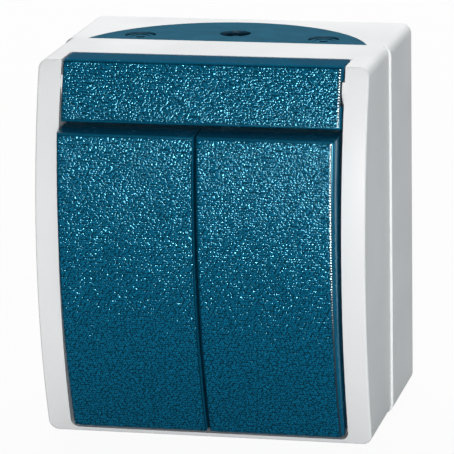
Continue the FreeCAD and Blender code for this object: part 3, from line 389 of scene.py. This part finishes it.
def grain_skin(name, solid, body, margins, land_width, seed, finish):
    """Closed skin over side x and turn t: y = cy - r cos t, z = cz + r sin t, with r the skin's reach."""
    (cy, cz, radius), width, turn, _ = front_arc(nodes[solid])
    left, right, low, high = margins
    start, stop = width[0] + left, width[1] - right
    first, last = turn[0] + low / radius, turn[1] - high / radius
    columns = round((stop - start) / GRAIN_STEP) + 1
    rows = round((last - first) * radius / GRAIN_STEP) + 1
    across, along = np.meshgrid(np.linspace(0, stop - start, columns),
                                np.linspace(0, (last - first) * radius, rows))
    reach, pebble, land = skin_reach(radius, across, along, land_width, seed)
    side, swing = start + across, first + along / radius

    def on_arc(x, r, t):
        """Points of the formula above, one to a row."""
        return np.stack([x, cy - r * np.cos(t), cz + r * np.sin(t)], axis=-1).reshape(-1, 3)

    front = on_arc(side, reach, swing)
    back = on_arc(side[:, [0, -1]], radius - GRAIN_BACK, swing[:, [0, -1]])
    faces = skin_faces(rows, columns)
    mesh = bpy.data.meshes.new(name)
    mesh.from_pydata(np.concatenate([front, back]).tolist(), [], faces)
    mesh.polygons.foreach_set("use_smooth", np.arange(len(faces)) < (rows - 1) * (columns - 1))
    for label, values in (("pebble", pebble), ("land", land)):
        mesh.attributes.new(label, "FLOAT", "POINT").data.foreach_set(
            "value", np.concatenate([values.ravel(), np.zeros(len(back))]))
    mesh.materials.append(finish)
    piece = bpy.data.objects.new(name, mesh)
    bpy.context.scene.collection.objects.link(piece)
    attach(piece, body)
    print(name, columns, "x", rows, "points,", sum(len(face) - 2 for face in faces), "triangles")


# %% [markdown]
# The grain's colour follows its height as painted light and shade: the tops are painted lighter and the
# valleys darker than the lamps alone make them. The land gets a clear coat on top, which is what the lamp's
# line is seen in.

# %% Grained blue
# Painted shade and painted light: factors of the petrol blue for the valleys and the tops, over a span of
# pebble height.
PAINTED_VALLEY_SHADE, PAINTED_TOP_LIGHT, PAINTED_SHADE_SPAN = 0.35, 2.0, (0.25, 0.95)
LAND_COAT_IOR, LAND_COAT_ROUGHNESS = 2.2, 0.25


def grained_blue(name):
    """Petrol blue with painted shade in the valleys and painted light on the tops, glossy, with a clear coat
    on the land.
    """
    finish = petrol_finish(name, roughness=0.2)
    # Painted shade in the valleys and painted light on the tops, following the pebble height.
    finish.shade(finish.attribute("pebble"), PAINTED_SHADE_SPAN,
                 dark=tinted(PETROL, PAINTED_VALLEY_SHADE), light=tinted(PETROL, PAINTED_TOP_LIGHT))
    finish.roughen(finish.noise(scale=900.0), smoothest=0.09, roughest=0.15)
    finish.join(finish.attribute("land"), finish.shader.inputs["Coat Weight"])
    finish.shader.inputs["Coat IOR"].default_value = LAND_COAT_IOR
    finish.shader.inputs["Coat Roughness"].default_value = LAND_COAT_ROUGHNESS
    return finish.material


grain_blue = grained_blue("grain_blue")
print("made", grain_blue.name)

# %% [markdown]
# Negative margins carry the grain past the strips: over the rounded side of a control, a little way over its
# ends, and hardly at all beside a land. In the picture only the right rocker and the flap show a bright line
# at the right, so only they have a land. Each grain has a seed of its own, so that no two look alike.

# %% Grain on both rockers and the flap
OVER_SIDE, OVER_END, BESIDE_LAND = -0.00045, -0.0002, -0.0001
PLAIN = {"margins": (OVER_SIDE, OVER_SIDE, OVER_END, OVER_END), "land_width": 0.0, "finish": grain_blue}
LANDED = {"margins": (OVER_SIDE, BESIDE_LAND, OVER_END, OVER_END), "land_width": LAND_WIDTH,
          "finish": grain_blue}

grain_skin("rocker_left_grain", "rocker_left", "left_rocker", seed=11, **PLAIN)
grain_skin("rocker_right_grain", "rocker_right", "right_rocker", seed=12, **LANDED)
grain_skin("flap_grain", "cover_flap", "flap", seed=13, **LANDED)

# %% [markdown]
# ## The soft cable entry
#
# The insert on top is a softer plastic in the same blue, smooth to the touch and a little dusty to look
# at. Dust could be laid over it as a second layer, but low gloss and a slow change of tone are enough. The
# soft pieces inside, a gasket and a membrane, have the same finish in grey.

# %% Soft blue and its greys
SOFT_BLUE = (0.022, 0.11, 0.175)
GASKET_GREY, MEMBRANE_GREY = (0.1, 0.1, 0.105), (0.3, 0.32, 0.33)


def soft_plastic(name, colour, roughness):
    """Soft matt plastic: tone and gloss wander with clouds of 5 mm, over a fine unevenness."""
    finish = Finish(name, colour, roughness)
    clouds = finish.noise(scale=220.0, detail=4.0)
    finish.shade(clouds, NOISE_SPAN, dark=tinted(colour, 0.88), light=tinted(colour, 1.08))
    finish.roughen(clouds, smoothest=roughness - 0.06, roughest=roughness + 0.06)
    finish.bump(finish.noise(scale=2600.0, detail=2.0), strength=0.2, distance=0.00003)
    return finish.material


seal_blue = soft_plastic("seal_blue", SOFT_BLUE, roughness=0.5)
gasket_grey = soft_plastic("gasket_grey", GASKET_GREY, roughness=0.8)
membrane_grey = soft_plastic("membrane_grey", MEMBRANE_GREY, roughness=0.6)
print("made", seal_blue.name, gasket_grey.name, membrane_grey.name)

# %% [markdown]
# ## Inside: mouldings, brass and steel
#
# Nobody sees these until the switch is opened, but they get honest finishes too. Stamped brass shows fine
# rolling lines along the strip, which are a noise drawn out in one direction. Plated screws are brighter,
# with a slight unevenness. The mouldings are made as the housing is, in other tones.

# %% Inner finishes
MOULDED_GREY, MOULDED_WHITE, NATURAL = (0.5, 0.51, 0.52), (0.76, 0.76, 0.73), (0.74, 0.7, 0.58)
BRASS, STEEL = (0.75, 0.53, 0.22), (0.6, 0.61, 0.63)


def rolled_metal(name, colour, roughness, squeeze):
    """Metal with rolling lines: fine noise whose z is squeezed, so that it draws out along z."""
    finish = Finish(name, colour, roughness, metallic=1.0)
    drawn = finish.add("ShaderNodeMapping")
    drawn.inputs["Scale"].default_value = (1.0, 1.0, squeeze)
    finish.join(finish.place, drawn.inputs["Vector"])
    lines = finish.noise(scale=3000.0, place=drawn.outputs["Vector"])
    finish.roughen(lines, smoothest=roughness - 0.08, roughest=roughness + 0.1)
    finish.shade(finish.noise(scale=300.0), NOISE_SPAN, dark=tinted(colour, 0.88), light=tinted(colour, 1.05))
    finish.bump(lines, strength=0.15, distance=0.00001)
    return finish.material


insert_grey = satin_moulding("insert_grey", MOULDED_GREY, roughness=0.55)
insert_white = satin_moulding("insert_white", MOULDED_WHITE, roughness=0.5)
plunger_natural = satin_moulding("plunger_natural", NATURAL, roughness=0.3)
contact_brass = rolled_metal("contact_brass", BRASS, roughness=0.32, squeeze=0.08)
screw_steel = rolled_metal("screw_steel", STEEL, roughness=0.28, squeeze=1.0)
print("made", insert_grey.name, insert_white.name, plunger_natural.name, contact_brass.name, screw_steel.name)

# %% [markdown]
# Each piece of the model now gets its finish. The grains already have theirs.

# %% Finish every piece of the model
FINISHES = {
    housing_white: ["base_box", "front_frame"],
    control_blue: ["rocker_left", "rocker_right", "cover_flap"],
    seal_blue: ["cable_entry_seal"],
    gasket_grey: ["rim_gasket"],
    membrane_grey: ["splash_membrane"],
    insert_grey: ["insert_socket"],
    insert_white: ["bearing_bridge", "cradle_left", "cradle_right"],
    plunger_natural: ["plunger_left", "plunger_right"],
    contact_brass: ["line_terminal", "output_terminal_left", "output_terminal_right",
                    "contact_lever_left", "contact_lever_right"],
    screw_steel: ["frame_screws", "insert_screws", "terminal_screws",
                  "plunger_spring_left", "plunger_spring_right"],
}
for material, names in FINISHES.items():
    for node_name in names:
        nodes[node_name].data.materials.clear()
        nodes[node_name].data.materials.append(material)
print("finished", sum(len(names) for names in FINISHES.values()), "of", len(nodes), "pieces")

# %% [markdown]
# ## The camera
#
# The picture was taken from the front right and from above, with a long lens. We could place the camera by
# hand, but two angles and a distance from a point in the middle of the switch say it more plainly. Last, we
# turn it a little about its own axis. The lens is known in pixels of the picture, so it is scaled to the
# width of Blender's sensor.

# %% Camera
YAW, PITCH, ROLL = math.radians(12.669), math.radians(13.992), math.radians(-0.994)
DISTANCE = 0.7928
TARGET = np.array([-0.00078, -0.025, -0.00052])
FOCAL_PIXELS, FRAME_PIXELS = 3579.5, 454
SENSOR_WIDTH, NEAREST_SEEN = 36.0, 0.01
STRAIGHT_UP = [0.0, 0.0, 1.0]


def standing(place, right, above, away):
    """Matrix of an object at a place with its own x to the right, y above, and z away from what it faces."""
    matrix = np.eye(4)
    matrix[:3] = np.column_stack([right, above, away, place])
    return matrix.T.tolist()


away = np.array([math.sin(YAW) * math.cos(PITCH), -math.cos(YAW) * math.cos(PITCH), math.sin(PITCH)])
level = np.cross(STRAIGHT_UP, away)
level /= np.linalg.norm(level)
upright = np.cross(away, level)
right = math.cos(ROLL) * level + math.sin(ROLL) * upright
above = math.cos(ROLL) * upright - math.sin(ROLL) * level

lens = bpy.data.cameras.new("camera")
lens.sensor_width = SENSOR_WIDTH
lens.lens = FOCAL_PIXELS * SENSOR_WIDTH / FRAME_PIXELS
lens.clip_start = NEAREST_SEEN
camera = bpy.data.objects.new("camera", lens)
camera.matrix_world = standing(TARGET + away * DISTANCE, right, above, away)
bpy.context.scene.collection.objects.link(camera)
bpy.context.scene.camera = camera
print("camera at", in_mm(TARGET + away * DISTANCE), "mm, lens", round(lens.lens, 1), "mm")

# %% [markdown]
# ## Floor and backdrop
#
# The studio is white all round. The floor is a plain pale plane that keeps a soft shadow. White paint would
# throw much light up at the switch, so the floor is grey, and only the camera sees it as nearly white, and
# the backdrop as white. Mirror images show both as dim, as a studio's dark side would.

# %% Floor
FLOOR_HALF, FLOOR_LEVEL = 3.0, solid_box[0][2]
FLOOR_GREY, FLOOR_DARKEST, FLOOR_LIGHTEST, FLOOR_ROUGHNESS = 0.45, 0.44, 0.46, 0.9
WHITE_LIGHT, MIRRORED_LIGHT = 1.0, 0.05
FLOOR_WHITE_SHARE = 0.95


def grey(value):
    """A colour with the same value in each channel."""
    return (value, value, value)


floor_mesh = bpy.data.meshes.new("floor")
floor_corners = np.array([[-1, -1], [1, -1], [1, 1], [-1, 1]]) * FLOOR_HALF
floor_mesh.from_pydata(np.column_stack([floor_corners, np.full(4, FLOOR_LEVEL)]).tolist(), [], [(0, 1, 2, 3)])
floor = bpy.data.objects.new("floor", floor_mesh)
bpy.context.scene.collection.objects.link(floor)

floor_finish = Finish("floor_white", grey(FLOOR_GREY), FLOOR_ROUGHNESS)
floor_finish.shade(floor_finish.noise(scale=40.0), NOISE_SPAN,
                   dark=grey(FLOOR_DARKEST), light=grey(FLOOR_LIGHTEST))
floor_ray = floor_finish.add("ShaderNodeLightPath")
floor_shader = floor_finish.shader.outputs["BSDF"]
for ray, share, brightness in (("Is Camera Ray", FLOOR_WHITE_SHARE, WHITE_LIGHT),
                               ("Is Glossy Ray", 1.0, MIRRORED_LIGHT)):
    glow = floor_finish.add("ShaderNodeEmission")
    glow.inputs["Color"].default_value = (*grey(brightness), 1.0)
    part = floor_finish.add("ShaderNodeMath", operation="MULTIPLY")
    part.inputs[1].default_value = share
    floor_finish.join(floor_ray.outputs[ray], part.inputs[0])
    blend = floor_finish.add("ShaderNodeMixShader")
    floor_finish.join(part.outputs["Value"], blend.inputs["Fac"])
    floor_finish.join(floor_shader, blend.inputs[1])
    floor_finish.join(glow.outputs["Emission"], blend.inputs[2])
    floor_shader = blend.outputs["Shader"]
floor_finish.join(floor_shader, floor_finish.tree.nodes["Material Output"].inputs["Surface"])
floor_mesh.materials.append(floor_finish.material)
print("floor at", round(FLOOR_LEVEL * 1000, 2), "mm")

# %% [markdown]
# The backdrop is the world itself. Its strength is the room's light, and each kind of ray that asks for
# another value adds the difference.

# %% Backdrop
ROOM_LIGHT = 0.1

world = bpy.data.worlds.new("studio")
bpy.context.scene.world = world
world.use_nodes = True
sky = world.node_tree
backdrop = sky.nodes["Background"]
backdrop.inputs["Color"].default_value = (*grey(1.0), 1.0)
sky_ray = sky.nodes.new("ShaderNodeLightPath")
strength = None
for ray, brightness in (("Is Camera Ray", WHITE_LIGHT), ("Is Glossy Ray", MIRRORED_LIGHT)):
    step = sky.nodes.new("ShaderNodeMath")
    step.operation = "MULTIPLY_ADD"
    sky.links.new(sky_ray.outputs[ray], step.inputs[0])
    step.inputs[1].default_value = brightness - ROOM_LIGHT
    step.inputs[2].default_value = ROOM_LIGHT
    if strength is not None:
        sky.links.new(strength, step.inputs[2])
    strength = step.outputs["Value"]
sky.links.new(strength, backdrop.inputs["Strength"])
print("room light", ROOM_LIGHT, "and in mirror images", MIRRORED_LIGHT)

# %% [markdown]
# ## Lamps
#
# A small lamp in front, little higher than the switch, gives each pebble one sharp glint; a large one would
# spread the glints into a haze. A long lamp above and behind lights the top. It is kept out of mirror images,
# which a photographer does with a polarising filter. A soft, slightly cool lamp at the right holds the side
# at grey. All three face a point near the middle of the front.

# %% Lamps
LAMP_AIM = np.array([0.0, -0.03, 0.0])
COOL_WHITE = (0.92, 1.0, 1.05)


def soft_lamp(name, place, size, watts):
    """A flat lamp of a width and height at a place, turned so that its -Z axis points at the aim."""
    light = bpy.data.lights.new(name, "AREA")
    light.shape = "RECTANGLE"
    light.size, light.size_y = size
    light.energy = watts
    lamp = bpy.data.objects.new(name, light)
    back = np.array(place) - LAMP_AIM
    back /= np.linalg.norm(back)
    side = np.cross(STRAIGHT_UP, back)
    side /= np.linalg.norm(side)
    lamp.matrix_world = standing(place, side, np.cross(back, side), back)
    bpy.context.scene.collection.objects.link(lamp)
    return lamp


soft_lamp("key_lamp", place=(0.08, -0.57, 0.06), size=(0.09, 0.09), watts=1.92)
top_lamp = soft_lamp("top_lamp", place=(-0.1, 0.7, 1.01), size=(1.1, 0.22), watts=22.5)
side_lamp = soft_lamp("side_lamp", place=(0.9, 0.0, 0.03), size=(0.3, 0.42), watts=2.3)
top_lamp.visible_glossy = False
side_lamp.data.color = COOL_WHITE

# %% [markdown]
# ## Colours as they are
#
# The Standard view shows a colour as it is written, with no film look on top.

# %% View
bpy.context.scene.view_settings.view_transform = "Standard"
